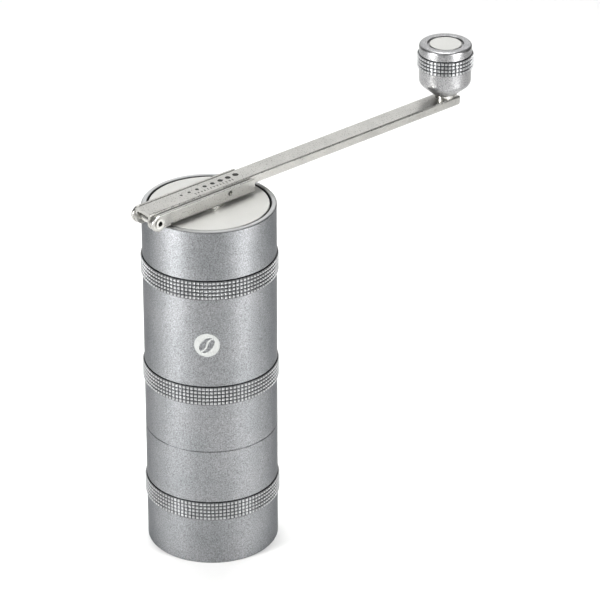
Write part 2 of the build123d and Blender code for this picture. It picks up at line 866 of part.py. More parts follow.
def crank_arm():
    """Long folded channel, open below, with ears for the hinge and bumps for the detent."""
    half = arm_width / 2
    inner = half - arm_sheet
    section = channel_section(arm_width, arm_height, arm_sheet, arm_bend, arm_edge_round)
    body = channel_between(section, arm_start, arm_end, arm_top, opens_up=False)
    silhouette = rectangle_between(arm_start, arm_end, arm_bottom, arm_top)
    end_corner = silhouette.vertices().sort_by_distance((arm_end, arm_bottom))[0]
    body &= side_plate(fillet(end_corner, arm_end_round), -half, half)
    ears = Pos(hinge_x, hinge_z) * Circle(arm_ear_radius)
    body += plates(ears, inner, half)
    body += plates(
        rectangle_between(arm_foot_start, arm_foot_end, bracket_floor_top, arm_bottom + arm_edge_round),
        inner,
        half,
    )
    bump = Pos(detent_x, half + detent_bump_offset, detent_z) * Sphere(detent_bump_radius)
    body += bump
    body += mirror(bump, about=Plane.XZ)
    body -= cross_pin(rivet_radius + running_gap, hinge_x, hinge_z, -half, half)
    body -= Pos(knob_x, 0, 0) * tube(0, axle_tenon_radius, arm_top - arm_sheet, arm_top)
    return body


def hinge_rivet():
    """Hollow rivet through bracket and arm, rolled over at both ends."""
    reach = bracket_half
    body = cross_pin(rivet_radius, hinge_x, hinge_z, -reach - rivet_lip, reach + rivet_lip)
    body += cross_pin(rivet_lip_radius, hinge_x, hinge_z, reach, reach + rivet_lip)
    body += cross_pin(rivet_lip_radius, hinge_x, hinge_z, -reach - rivet_lip, -reach)
    for rims in (body.edges().group_by(Axis.Y)[0], body.edges().group_by(Axis.Y)[-1]):
        body = fillet(rims, rivet_lip / 2)
    body -= cross_pin(rivet_bore, hinge_x, hinge_z, -reach - rivet_lip, reach + rivet_lip)
    return body


def hinge_washers():
    """Two washers between the arm's ears and the bracket's."""
    low = arm_width / 2 + running_gap
    high = bracket_inner_half - running_gap
    washers = []
    for y_low, y_high in ((low, high), (-high, -low)):
        disc = cross_pin(washer_radius, hinge_x, hinge_z, y_low, y_high)
        washers.append(disc - cross_pin(rivet_radius + running_gap, hinge_x, hinge_z, y_low, y_high))
    return Compound(washers)


# ---- Knob ----------------------------------------------------------------------------------------
def knob_axle():
    """Fixed axle riveted into the arm, with the collar that the knob stands on."""
    web_bottom = arm_top - arm_sheet
    body = tube(0, axle_head_radius, web_bottom - axle_head, web_bottom)
    body += tube(0, axle_tenon_radius, web_bottom, arm_top)
    body += tube(0, axle_collar_radius, arm_top, collar_top)
    body += tube(0, axle_radius, collar_top, axle_top)
    body -= tube(0, knob_screw_radius, axle_top - knob_screw_length, axle_top)
    return body


def knob_bush(bottom):
    """Plain bush pressed into the knob."""
    return tube(axle_radius + running_gap, knob_bush_radius, bottom, bottom + knob_bush_length)


def knob_body():
    """Turned knob: cone and cylinder below, knurled band out to its crests, plain crown above."""
    band_top = knob_bottom + knob_band_top
    band_bottom = band_top - knob_band_height
    cone_top = knob_bottom + knob_cone_rise
    outline = make_face(
        Polyline(
            (0, knob_bottom),
            (knob_neck_radius, knob_bottom),
            (knob_lower_radius, cone_top),
            (knob_lower_radius, band_bottom),
            (knob_band_radius, band_bottom),
            (knob_band_radius, band_top),
            (knob_radius, band_top),
            (knob_radius, knob_top),
            (0, knob_top),
            close=True,
        )
    )
    corners = outline.vertices()
    outline = fillet(corners.sort_by_distance((knob_lower_radius, cone_top))[0], knob_cone_round)
    corners = outline.vertices()
    outline = fillet(corners.sort_by_distance((knob_radius, knob_top))[0], knob_shoulder_round)
    body = revolve(Plane.XZ * outline, axis=Axis.Z)
    bush_seat = knob_bush_radius + press_gap
    body -= tube(0, bush_seat, knob_bottom, knob_bottom + knob_bush_length)
    body -= tube(0, knob_bore, knob_bottom, upper_bush_bottom)
    body -= tube(0, bush_seat, upper_bush_bottom, upper_bush_top)
    body -= tube(0, knob_washer_radius + knob_counterbore_gap, upper_bush_top, cap_seat)
    body -= tube(0, cap_radius + press_gap, cap_seat, knob_top)
    body -= tube(0, cap_groove_radius, knob_top - cap_groove_depth, knob_top)
    return body


def knob_cap():
    """Disc pressed into the top of the knob over the retaining screw."""
    top = knob_top - cap_recess
    body = Pos(0, 0, top - cap_thickness) * Cylinder(cap_radius, cap_thickness, align=up)
    return chamfer(body.edges().group_by(Axis.Z)[-1], cap_recess)


def knob_washer():
    """Washer that keeps the knob on its axle."""
    return tube(
        knob_screw_radius + free_gap, knob_washer_radius, axle_top, axle_top + knob_washer_thickness
    )


def knob_screw():
    """Screw in the end of the axle."""
    under_head = axle_top + knob_washer_thickness
    tip = axle_top - knob_screw_length + end_float
    shank = knob_screw_radius - press_gap
    return cap_screw(shank, knob_screw_head_radius, knob_screw_head_height, under_head, tip)


# ---- All pieces ----------------------------------------------------------------------------------
def all_pieces():
    """Every piece in its place, by node name."""
    at_knob = Pos(knob_x, 0, 0)
    pieces = {
        "catch_cup": catch_cup(),
        "cup_grip_ring": grip_ring(cup_ring_top),
        "barrel": barrel(),
        "middle_grip_ring": grip_ring(middle_ring_top),
        "upper_grip_ring": grip_ring(upper_ring_top),
        "upper_bridge": upper_bridge(),
        "lower_bridge": lower_bridge(),
        "burr_carrier": burr_carrier(),
        "bridge_screws": bridge_screws(),
        "outer_burr": outer_burr(),
        "inner_burr": inner_burr(),
        "burr_spring": burr_spring(),
        "spring_washer": spring_washer(),
        "click_plate": click_plate(),
        "adjuster_dial": adjuster_dial(),
        "click_balls": click_balls(),
        "click_springs": click_springs(),
        "drive_shaft": drive_shaft(),
        "lid_plate": lid_plate(),
        "lid_seal": lid_seal(),
        "lid_bush": lid_bush(),
        "crank_hub": crank_hub(),
        "hub_clip": hub_clip(),
        "hub_screw": hub_screw(),
        "crank_bracket": crank_bracket(),
        "crank_arm": crank_arm(),
        "hinge_rivet": hinge_rivet(),
        "hinge_washers": hinge_washers(),
        "knob_axle": at_knob * knob_axle(),
        "knob_bush_lower": at_knob * knob_bush(knob_bottom),
        "knob_bush_upper": at_knob * knob_bush(upper_bush_bottom),
        "knob_body": at_knob * knob_body(),
        "knob_cap": at_knob * knob_cap(),
        "knob_washer": at_knob * knob_washer(),
        "knob_screw": at_knob * knob_screw(),
    }
    for place, bottom in (("upper", upper_bearing_bottom), ("lower", lower_bearing_bottom)):
        for name, shape in bearing(bottom).items():
            pieces[f"{place}_bearing_{name}"] = shape
    return pieces


os.makedirs("parts", exist_ok=True)
for node, shape in all_pieces().items():
    export_step(shape, f"parts/{node}.step")
    print(node, round(shape.volume, 1))
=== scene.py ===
import json
from math import atan2, cos, pi, radians, sin, tau

import bmesh
import bpy
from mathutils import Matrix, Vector


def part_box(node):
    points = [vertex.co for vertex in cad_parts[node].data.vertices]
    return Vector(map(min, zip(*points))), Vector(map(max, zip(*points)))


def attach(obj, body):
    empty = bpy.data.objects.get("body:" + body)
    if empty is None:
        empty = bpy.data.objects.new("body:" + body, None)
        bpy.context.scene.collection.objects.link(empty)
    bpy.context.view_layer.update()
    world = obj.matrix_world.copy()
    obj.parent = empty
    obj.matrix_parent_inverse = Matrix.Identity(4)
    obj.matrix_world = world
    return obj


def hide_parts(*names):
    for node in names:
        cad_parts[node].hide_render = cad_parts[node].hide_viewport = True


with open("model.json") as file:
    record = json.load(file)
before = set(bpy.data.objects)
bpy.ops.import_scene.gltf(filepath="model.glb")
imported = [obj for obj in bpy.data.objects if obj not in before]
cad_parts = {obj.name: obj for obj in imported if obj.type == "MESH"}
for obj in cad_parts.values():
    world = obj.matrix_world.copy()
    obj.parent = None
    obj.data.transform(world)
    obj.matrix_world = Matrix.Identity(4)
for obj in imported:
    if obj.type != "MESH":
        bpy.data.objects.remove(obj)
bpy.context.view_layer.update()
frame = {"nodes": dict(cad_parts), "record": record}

bl_info = {
    "name": "Hand crank coffee grinder",
    "version": (1, 0, 0),
    "blender": (4, 5, 0),
    "location": "3D View > Sidebar > Grinder",
    "description": "Makes the visible pieces, finishes and stage of a hand crank coffee grinder",
    "category": "Object",
}

MM = 0.001
LATHE_STEPS = 192
SHARP_ANGLE = radians(28)


def linear(hex_colour):
    """A linear colour with alpha from an sRGB hex value."""
    parts = [int(hex_colour[i : i + 2], 16) / 255 for i in (0, 2, 4)]
    return (*[c / 12.92 if c <= 0.04045 else ((c + 0.055) / 1.055) ** 2.4 for c in parts], 1.0)


# Places read from the CAD model, in metres
BARREL_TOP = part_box("barrel")[1].z
BODY_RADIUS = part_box("catch_cup")[1].x
KNOB_LOW, KNOB_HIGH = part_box("knob_body")
ARM_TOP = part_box("crank_arm")[1].z
RING_NODES = {"cup_grip_ring": "cup", "middle_grip_ring": "barrel", "upper_grip_ring": "barrel"}

# The turned knob's profile, in mm: radii, heights above its foot and depths below its top
KNOB_FOOT_RADIUS = 5.0
KNOB_CONE_HEIGHT = 4.7
KNOB_WALL_RADIUS = 10.5
KNOB_HEAD_RADIUS = 10.6
KNOB_BAND_TOP = 17.6
KNOB_BAND_HEIGHT = 6.3
KNOB_BAND_INNER_RADIUS = 10.0
INLAY_RADIUS, INLAY_DEPTH = 7.35, 0.9
LEDGE_RADIUS, LEDGE_DEPTH = 6.47, 1.45
WASHER_BORE_RADIUS, WASHER_BORE_DEPTH = 4.6, 4.2
BUSH_SEAT_RADIUS, UPPER_BUSH_DEPTH, LOWER_BUSH_HEIGHT = 4.02, 9.2, 5.0
AXLE_BORE_RADIUS = 3.0


# ---- Sizes and colours a maker would change --------------------------------------------------------
def length_of(name, description, default_mm):
    return bpy.props.FloatProperty(
        name=name, description=description, default=default_mm * MM, min=0, unit="LENGTH", precision=5
    )


def colour_of(name, description, hex_colour):
    return bpy.props.FloatVectorProperty(
        name=name, description=description, default=linear(hex_colour),
        min=0, max=1, size=4, subtype="COLOR",
    )


def share_of(name, description, default):
    return bpy.props.FloatProperty(
        name=name, description=description, default=default, min=0.02, max=0.95, subtype="FACTOR"
    )


class GrinderSizes(bpy.types.PropertyGroup):
    """Sizes of the pieces that are made here"""

    ring_columns: bpy.props.IntProperty(
        name="Ring columns", description="Knurl points round a grip ring", default=106, min=3
    )
    ring_rows: bpy.props.IntProperty(
        name="Ring rows", description="Rows of knurl points on a grip ring", default=5, min=1
    )
    knob_columns: bpy.props.IntProperty(
        name="Knob columns", description="Knurl points round the knob", default=45, min=3
    )
    knob_rows: bpy.props.IntProperty(
        name="Knob rows", description="Rows of knurl points on the knob", default=4, min=1
    )
    knurl_depth: length_of("Knurl depth", "Height of a knurl point above its valleys", 0.5)
    ring_crown: share_of("Ring crown", "Flat top of a ring's point, as a share of its pitch", 0.3)
    knob_crown: share_of("Knob crown", "Flat top of a knob's point, as a share of its pitch", 0.48)
    ring_inner_radius: length_of("Ring inner radius", "Radius of the groove under a ring", 25.32)
    ring_lip: length_of("Ring lip", "Plain edge above and below the knurl", 0.12)
    ring_slit: length_of("Ring slit", "Gap in a split grip ring", 0.4)
    slit_angle: bpy.props.FloatProperty(
        name="Slit angle", description="Where round the barrel the rings are split",
        default=radians(48), subtype="ANGLE",
    )
    badge_radius: length_of("Badge radius", "Radius of the round mark on the barrel", 5.0)
    badge_height: length_of("Badge height", "Height of the mark's middle above the base", 98.0)
    badge_angle: bpy.props.FloatProperty(
        name="Badge angle", description="Where round the barrel the mark is",
        default=radians(-133.5), subtype="ANGLE",
    )
    mark_start: length_of("Mark start", "How far the arm's marks start before the spindle", 15.0)
    mark_length: length_of("Mark length", "Length of the row of marks on the arm", 31.0)


class GrinderColours(bpy.types.PropertyGroup):
    """Colours of the finishes"""

    shell: colour_of("Shell", "Bead-blasted, clear-anodised aluminium", "8B8C8E")
    shell_cloud: colour_of("Shell shade", "Darker patches in the shell's anodising", "838587")
    # Painted highlight: this lighter colour is put on the barrel's top edge, standing in for the
    # light that edge catches
    rim: colour_of("Rim", "Top edge of the barrel, bright where the lid rubs it", "C2C3C3")
    # Painted highlight: the knurl's points get this lighter colour
    grip: colour_of("Grip", "Knurled aluminium on its points", "B6B7B8")
    # Painted shade: the knurl's valleys get this darker colour
    grip_valley_shade: colour_of("Grip valleys", "Knurled aluminium between the points", "303234")
    knob: colour_of("Knob", "Turned and satin-anodised aluminium", "9F9FA0")
    lid: colour_of("Lid", "Fine-blasted pale aluminium", "C6C6C3")
    crank: colour_of("Crank", "Tumbled stainless sheet", "B6B5B1")
    bright: colour_of("Bright steel", "Turned and polished stainless", "D2D1CC")
    burr: colour_of("Burrs", "Ground hardened steel", "8E8F92")
    bearing: colour_of("Bearings", "Polished chromium steel", "D8D9DB")
    spring: colour_of("Springs", "Drawn spring wire", "9C9C9B")
    screw: colour_of("Screws", "Zinc-plated steel", "B9BDBF")
    brass: colour_of("Brass", "Turned brass bushes", "C9A55A")
    plastic: colour_of("Plastic", "Moulded glass-filled nylon", "2A2A2C")
    dial: colour_of("Dial", "Moulded acetal", "303033")
    rubber: colour_of("Seal", "Moulded silicone", "0B0B0C")
    pale_mark: colour_of("Pale mark", "Laser-whitened anodising", "9FA19F")
    dark_mark: colour_of("Dark mark", "Laser-annealed steel", "2E2D2B")
    floor: colour_of("Floor", "Pale painted floor", "F4F4F3")


# ---- Node and mesh helpers -------------------------------------------------------------------------
def node(tree, kind, inputs=(), **settings):
    """Adds a node with its settings, and gives its inputs their values or links."""
    made = tree.nodes.new(kind)
    for key, value in settings.items():
        setattr(made, key, value)
    for socket, value in dict(inputs).items():
        if isinstance(value, bpy.types.NodeSocket):
            tree.links.new(value, made.inputs[socket])
        else:
            made.inputs[socket].default_value = value
    return made


def keep_mesh(name, bm, recalculate=True):
    """A finished object from a bmesh in metres, smooth with sharp edges."""
    if recalculate:
        bmesh.ops.recalc_face_normals(bm, faces=bm.faces)
    mesh = bpy.data.meshes.new(name)
    bm.to_mesh(mesh)
    bm.free()
    mesh.shade_smooth()
    mesh.set_sharp_from_angle(angle=SHARP_ANGLE)
    made = bpy.data.objects.new(name, mesh)
    bpy.context.scene.collection.objects.link(made)
    return made


def finished(made, body, slot, material, *replaced):
    """Gives a made piece its finish, its body and the CAD nodes it stands for."""
    made.data.materials.clear()
    made.data.materials.append(material)
    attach(made, body)
    if replaced:
        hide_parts(*replaced)
    return made


def plain_mesh(made):
    """Turns an object's modifiers or curve into a plain mesh and removes them."""
    graph = bpy.context.evaluated_depsgraph_get()
    mesh = bpy.data.meshes.new_from_object(made.evaluated_get(graph), depsgraph=graph)
    mesh.name = made.name
    if made.type == "MESH":
        made.modifiers.clear()
        made.data = mesh
        return made
    name = made.name
    bpy.data.objects.remove(made)
    flat = bpy.data.objects.new(name, mesh)
    bpy.context.scene.collection.objects.link(flat)
    return flat


def rounded(outline, steps=5):
    """An outline of (radius, height) points in which a third number rounds that corner."""
    points = []
    count = len(outline)
    for i, corner in enumerate(outline):
        here = Vector(corner[:2])
        size = corner[2] if len(corner) > 2 else 0
        if not size:
            points.append(here)
            continue
        before = (Vector(outline[i - 1][:2]) - here).normalized()
        after = (Vector(outline[(i + 1) % count][:2]) - here).normalized()
        half = before.angle(after) / 2
        reach = size / (sin(half) / cos(half))
        centre = here + (before + after).normalized() * (size / sin(half))
        start = here + before * reach - centre
        end = here + after * reach - centre
        turn = atan2(start.cross(end), start.dot(end))
        for k in range(steps + 1):
            angle = turn * k / steps
            c, s = cos(angle), sin(angle)
            points.append(centre + Vector((start.x * c - start.y * s, start.x * s + start.y * c)))
    return points


def lathe(bm, outline, centre_x=0.0, steps=LATHE_STEPS, start=0.0, sweep=tau):
    """Turns a closed outline of (radius, height) points in mm about a vertical axis."""
    closed = sweep > tau - 1e-9
    columns = steps if closed else steps + 1
    rings = []
    for k in range(columns):
        angle = start + sweep * k / steps
        c, s = cos(angle), sin(angle)
        rings.append([bm.verts.new((centre_x + r * c * MM, r * s * MM, z * MM)) for r, z in outline])
    faces = []
    for k in range(steps):
        one, two = rings[k], rings[(k + 1) % columns]
        for i in range(len(outline)):
            j = (i + 1) % len(outline)
            faces.append(bm.faces.new((one[i], two[i], two[j], one[j])))
    if not closed:
        bm.faces.new(rings[0])
        bm.faces.new(reversed(rings[-1]))
    return faces


# ---- Finishes --------------------------------------------------------------------------------------
TURNED = (0.05, 0.05, 1.0)  # stretch of tool marks that run round an upright axis
GROUND = (1.0, 1.0, 0.1)    # stretch of tool marks that run up and down


def new_material(name, colour, **values):
    """A new material, its tree, its one Principled shader and its object coordinates."""
    made = bpy.data.materials.new(name)
    made.use_nodes = True
    tree = made.node_tree
    tree.nodes.clear()
    shader = node(tree, "ShaderNodeBsdfPrincipled", {"Base Color": colour, **values})
    node(tree, "ShaderNodeOutputMaterial", {"Surface": shader.outputs[0]})
    place = node(tree, "ShaderNodeTexCoord").outputs["Object"]
    return made, tree, shader, place


def grain(tree, place, size_mm, detail=2.0, stretch=(1, 1, 1), roughness=0.5):
    """Noise about size_mm across, drawn out along an axis where stretch is under 1."""
    scale = tuple(s / (size_mm * MM) for s in stretch)
    scaled = node(tree, "ShaderNodeMapping", {"Vector": place, "Scale": scale}).outputs[0]
    inputs = {"Vector": scaled, "Scale": 1.0, "Detail": detail, "Roughness": roughness}
    return node(tree, "ShaderNodeTexNoise", inputs).outputs["Fac"]


def drifting(tree, value, first, second, start=0.3, end=0.7):
    """A colour that goes from the first to the second as a value goes from start to end."""
    inputs = {"Value": value, "From Min": start, "From Max": end, "To Min": 0.0, "To Max": 1.0}
    share = node(tree, "ShaderNodeMapRange", inputs).outputs["Result"]
    inputs = {"Factor": share, 6: first, 7: second}
    return node(tree, "ShaderNodeMix", inputs, data_type="RGBA").outputs[2]


def shaded(colour, share):
    """A colour made darker."""
    return [c * share for c in colour[:3]] + [1.0]


def painted_dent_shade(tree, colour, value, contrast=0.95):
    """A colour shaded by a fine noise: painted shade in the hollows of a skin and a painted highlight
    on its tops.
    """
    dark, light = 1 - contrast / 2, 1 + contrast / 2
    inputs = {"Value": value, "From Min": 0.25, "From Max": 0.75, "To Min": dark, "To Max": light}
    grey = node(tree, "ShaderNodeMapRange", inputs).outputs["Result"]
    inputs = {"Red": grey, "Green": grey, "Blue": grey}
    shade = node(tree, "ShaderNodeCombineColor", inputs).outputs[0]
    inputs = {"Factor": 1.0, 6: colour, 7: shade}
    return node(tree, "ShaderNodeMix", inputs, data_type="RGBA", blend_type="MULTIPLY").outputs[2]


def surfaced(tree, shader, colour, marks, dullness, *reliefs):
    """Gives a shader its colour, a roughness that varies with its marks, and their relief.

    dullness is the lowest and the highest roughness. Each relief is a height and its depth in mm,
    and each one lies on top of the one before.
    """
    low, high = dullness
    inputs = {"Value": marks, "From Min": 0.3, "From Max": 0.7, "To Min": low, "To Max": high}
    rough = node(tree, "ShaderNodeMapRange", inputs).outputs["Result"]
    found = {"Base Color": colour, "Roughness": rough}
    for height, depth_mm in reliefs:
        inputs = {"Height": height, "Distance": depth_mm * MM, "Strength": 1.0}
        if "Normal" in found:
            inputs["Normal"] = found["Normal"]
        found["Normal"] = node(tree, "ShaderNodeBump", inputs).outputs["Normal"]
    for socket, value in found.items():
        tree.links.new(value, shader.inputs[socket])


def bead_blasted_aluminium(name, colours):
    """Bead-blasted, clear-anodised 6061 aluminium: a dull silver skin of tiny dents."""
    made, tree, shader, place = new_material(name, colours.shell, Metallic=1.0)
    # The oxide layer takes up more light at a grazing angle, so the tube darkens towards its sides
    shader.inputs["Specular Tint"].default_value = (0.43, 0.435, 0.445, 1.0)
    # The dents are about 0.15 mm across on the real tube; they are drawn at 0.5 mm, to show
    dents = grain(tree, place, 0.5, roughness=0.6)
    cloud = grain(tree, place, 14.0)
    # Painted shade in the dents and a painted highlight on their tops, from the same noise as their
    # relief
    colour = painted_dent_shade(tree, drifting(tree, cloud, colours.shell, colours.shell_cloud), dents)
    # Painted highlight: the top edge is drawn in the brighter rim colour, standing in for the light
    # that edge catches
    height = node(tree, "ShaderNodeSeparateXYZ", {"Vector": place}).outputs["Z"]
    edge = BARREL_TOP - 0.3 * MM, BARREL_TOP - 0.1 * MM
    colour = drifting(tree, height, colour, colours.rim, *edge)
    surfaced(tree, shader, colour, dents, (0.32, 0.42), (dents, 0.06))
    return made


def knurled_aluminium(name, colours):
    """Knurled, clear-anodised aluminium: the points are painted lighter as a highlight and the
    valleys darker as painted shade.
    """
    made, tree, shader, place = new_material(name, colours.grip, Metallic=1.0)
    crest = node(tree, "ShaderNodeAttribute", attribute_name="crest").outputs["Fac"]
    fine = grain(tree, place, 0.5)
    # Painted shade in the valleys and painted highlight on the points, blended by the crest attribute
    colour = drifting(tree, crest, colours.grip_valley_shade, colours.grip, 0.0, 0.75)
    surfaced(tree, shader, colour, fine, (0.26, 0.4), (fine, 0.01))
    return made


def satin_knob_aluminium(name, colours):
    """Turned and satin-anodised aluminium: smoother and brighter than the blasted tube."""
    made, tree, shader, place = new_material(name, colours.knob, Metallic=1.0)
    # Lathe lines run round the knob, so the noise is thin upwards and long sideways. They are
    # 0.1 mm apart and the skin's dents 0.1 mm across; both are drawn coarser, to show
    lines = grain(tree, place, 0.25, stretch=(0.02, 0.02, 1.0))
    fine = grain(tree, place, 0.5, detail=3.0)
    # Painted shade in the dents and a painted highlight on their tops, from the same noise as their
    # relief
    colour = painted_dent_shade(tree, colours.knob, fine)
    surfaced(tree, shader, colour, fine, (0.28, 0.4), (lines, 0.004), (fine, 0.05))
    return made


def pale_lid_aluminium(name, colours):
    """Fine-blasted, silver-anodised aluminium plate: pale, even and nearly matt."""
    made, tree, shader, place = new_material(name, colours.lid, Metallic=1.0)
    # The fine blast's dents are about 0.1 mm across; they are drawn at 0.5 mm, to show
    fine = grain(tree, place, 0.5, detail=3.0)
    cloud = grain(tree, place, 10.0)
    colour = drifting(tree, cloud, colours.lid, shaded(colours.lid, 0.94))
    surfaced(tree, shader, colour, fine, (0.56, 0.66), (fine, 0.012))
    return made


def tumbled_stainless(name, colours):
    """Folded 304 stainless sheet, tumbled after bending: satin, faintly grained lengthways."""
    made, tree, shader, place = new_material(name, colours.crank, Metallic=1.0)
    # The tumbler's pits are about 0.1 mm across; they are drawn at 0.5 mm, to show
    rolled = grain(tree, place, 0.3, stretch=(0.03, 1.0, 1.0))
    pits = grain(tree, place, 0.5, detail=3.0)
    cloud = grain(tree, place, 9.0)
    uneven = drifting(tree, cloud, colours.crank, shaded(colours.crank, 0.86))
    # Painted shade in the pits and a faint painted highlight between them, from the same noise as
    # their relief
    colour = painted_dent_shade(tree, uneven, pits, contrast=0.2)
    surfaced(tree, shader, colour, pits, (0.26, 0.34), (rolled, 0.003), (pits, 0.003))
    return made


def worked_metal(name, colour, roughness, tool_mark_mm, depth_mm, stretch=(1, 1, 1), shade=0.85):
    """A metal with tool marks of one size and direction."""
    made, tree, shader, place = new_material(name, colour, Metallic=1.0)
    marks = grain(tree, place, tool_mark_mm, stretch=stretch)
    uneven = drifting(tree, grain(tree, place, 5.0), colour, shaded(colour, shade))
    surfaced(tree, shader, uneven, marks, (roughness * 0.85, roughness * 1.2), (marks, depth_mm))
    return made


def moulded(name, colour, ior, roughness, texture_mm, depth_mm, fleck=0.0):
    """A moulded plastic or rubber with the fine texture of its tool."""
    made, tree, shader, place = new_material(name, colour, IOR=ior)
    skin = grain(tree, place, texture_mm, detail=3.0)
    lighter = [min(1.0, c * 1.35 + fleck) for c in colour[:3]] + [1.0]
    uneven = drifting(tree, grain(tree, place, 4.0), colour, lighter)
    surfaced(tree, shader, uneven, skin, (roughness * 0.9, roughness * 1.1), (skin, depth_mm))
    return made


def laser_mark(name, colour, metallic):
    """A laser mark: the surface itself, bleached or darkened, with the beam's fine hatching."""
    made, tree, shader, place = new_material(name, colour, Metallic=metallic, Roughness=0.6)
    # The beam's lines are 0.05 mm apart on the real mark; they are drawn 0.3 mm apart
    hatch = grain(tree, place, 0.3, stretch=(1.0, 1.0, 0.2))
    uneven = drifting(tree, hatch, colour, shaded(colour, 0.86))
    tree.links.new(uneven, shader.inputs["Base Color"])
    inputs = {"Height": hatch, "Distance": 0.004 * MM, "Strength": 1.0}
    relief = node(tree, "ShaderNodeBump", inputs).outputs["Normal"]
    tree.links.new(relief, shader.inputs["Normal"])
    return made


def made_once(name, maker, *values):
    """A material, made the first time that its name is asked for."""
    return bpy.data.materials.get(name) or maker(name, *values)


def knurl_finish(colours):
    return made_once("knurled_aluminium", knurled_aluminium, colours)


def slot_material(slot, colours):
    """The material of one of the record's slots."""
    finishes = {
        "shell_aluminium": ("bead_blasted_aluminium", bead_blasted_aluminium, colours),
        "grip_aluminium": ("satin_turned_aluminium", satin_knob_aluminium, colours),
        "lid_aluminium": ("pale_lid_aluminium", pale_lid_aluminium, colours),
        "crank_steel": ("tumbled_stainless_sheet", tumbled_stainless, colours),
        # name, maker, colour, roughness, size and depth of the tool marks in mm, their stretch
        "bright_steel": ("turned_stainless", worked_metal, colours.bright, 0.24, 0.25, 0.004, TURNED),
        "burr_steel": ("ground_burr_steel", worked_metal, colours.burr, 0.34, 0.3, 0.008, GROUND),
        "bearing_steel": ("polished_bearing_steel", worked_metal, colours.bearing, 0.14, 0.4, 0.001),
        "spring_steel": ("drawn_spring_wire", worked_metal, colours.spring, 0.3, 0.2, 0.004),
        "screw_steel": (
            "zinc_plated_steel", worked_metal, colours.screw, 0.32, 0.5, 0.006, (1, 1, 1), 0.78,
        ),
        "bush_brass": ("turned_brass", worked_metal, colours.brass, 0.28, 0.25, 0.004, TURNED),
        # name, maker, colour, index of refraction, roughness, size and depth of the texture in mm
        "bridge_plastic": (
            "glass_filled_nylon", moulded, colours.plastic, 1.53, 0.52, 0.4, 0.012, 0.02,
        ),
        "dial_plastic": ("moulded_acetal", moulded, colours.dial, 1.48, 0.4, 0.5, 0.006),
        "seal_rubber": ("moulded_silicone", moulded, colours.rubber, 1.41, 0.62, 0.35, 0.008),
    }
    return made_once(*finishes[slot])


# ---- Knurling --------------------------------------------------------------------------------------
def knurl_tree():
    """Raises a truncated pyramid on every face marked as band."""
    known = bpy.data.node_groups.get("knurl_points")
    if known:
        return known
    tree = bpy.data.node_groups.new("knurl_points", "GeometryNodeTree")
    face = tree.interface
    face.new_socket("Geometry", in_out="INPUT", socket_type="NodeSocketGeometry")
    for name, kind in (("Depth", "Float"), ("Crown", "Float"), ("Material", "Material")):
        face.new_socket(name, in_out="INPUT", socket_type="NodeSocket" + kind)
    face.new_socket("Geometry", in_out="OUTPUT", socket_type="NodeSocketGeometry")
    given = node(tree, "NodeGroupInput").outputs
    band = node(
        tree, "GeometryNodeInputNamedAttribute", {"Name": "band"}, data_type="BOOLEAN"
    ).outputs[0]
    raised = node(
        tree, "GeometryNodeExtrudeMesh",
        {
            "Mesh": given["Geometry"], "Selection": band,
            "Offset Scale": given["Depth"], "Individual": True,
        },
        mode="FACES",
    ).outputs
    crowned = node(
        tree, "GeometryNodeScaleElements",
        {"Geometry": raised["Mesh"], "Selection": raised["Top"], "Scale": given["Crown"]},
        domain="FACE",
    ).outputs[0]
    marked = node(
        tree, "GeometryNodeStoreNamedAttribute",
        {"Geometry": crowned, "Selection": raised["Top"], "Name": "crest", "Value": 1.0},
        data_type="FLOAT", domain="POINT",
    ).outputs[0]
    real = node(tree, "GeometryNodeRealizeInstances", {"Geometry": marked}).outputs[0]
    painted = node(
        tree, "GeometryNodeSetMaterial", {"Geometry": real, "Material": given["Material"]}
    ).outputs[0]
    node(tree, "NodeGroupOutput", {"Geometry": painted})
    return tree


def knurled(made, depth, crown, material):
    """Cuts the knurl into an object's marked faces and leaves a plain mesh."""
    tree = knurl_tree()
    modifier = made.modifiers.new("knurl", "NODES")
    modifier.node_group = tree
    values = {"Depth": depth, "Crown": crown, "Material": material}
    for item in tree.interface.items_tree:
        if item.in_out == "INPUT" and item.name in values:
            modifier[item.identifier] = values[item.name]
    return plain_mesh(made)


def sleeve(
    name, inner, root, bottom, top, rows, lip, columns, centre_x=0.0, slit=0.0, slit_angle=0.0
):
    """A ring with a grid of faces outside, marked as band; sizes in mm."""
    levels = [bottom + lip + (top - bottom - 2 * lip) * k / rows for k in range(rows + 1)]
    outline = [(inner, bottom), (root - lip / 2, bottom), (root, bottom + lip / 2)]
    first = len(outline)
    outline += [(root, z) for z in levels]
    outline += [(root, top - lip / 2), (root - lip / 2, top), (inner, top)]
    bm = bmesh.new()
    band = bm.faces.layers.bool.new("band")
    gap = slit / root
    faces = lathe(bm, outline, centre_x, columns, slit_angle + gap / 2, tau - gap)
    for index, face in enumerate(faces):
        if first <= index % len(outline) < first + rows:
            face[band] = True
    made = keep_mesh(name, bm)
    made.data.attributes.new("crest", "FLOAT", "POINT")
    return made


class GrinderGripRings(bpy.types.Operator):
    """Makes the three split, knurled grip rings"""

    bl_idname = "grinder.grip_rings"
    bl_label = "Grip rings"

    def execute(self, context):
        sizes, colours = context.scene.grinder_sizes, context.scene.grinder_colours
        material = knurl_finish(colours)
        for name, body in RING_NODES.items():
            low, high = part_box(name)
            crest = max(high.x, -low.x) / MM
            root = crest - sizes.knurl_depth / MM
            ring = sleeve(
                "knurled_" + name, sizes.ring_inner_radius / MM, root, low.z / MM, high.z / MM,
                sizes.ring_rows, sizes.ring_lip / MM, sizes.ring_columns,
                slit=sizes.ring_slit / MM, slit_angle=sizes.slit_angle,
            )
            ring = knurled(ring, sizes.knurl_depth, sizes.ring_crown, material)
            ring.data.shade_flat()
            finished(ring, body, "grip_aluminium", material, name)
        return {"FINISHED"}


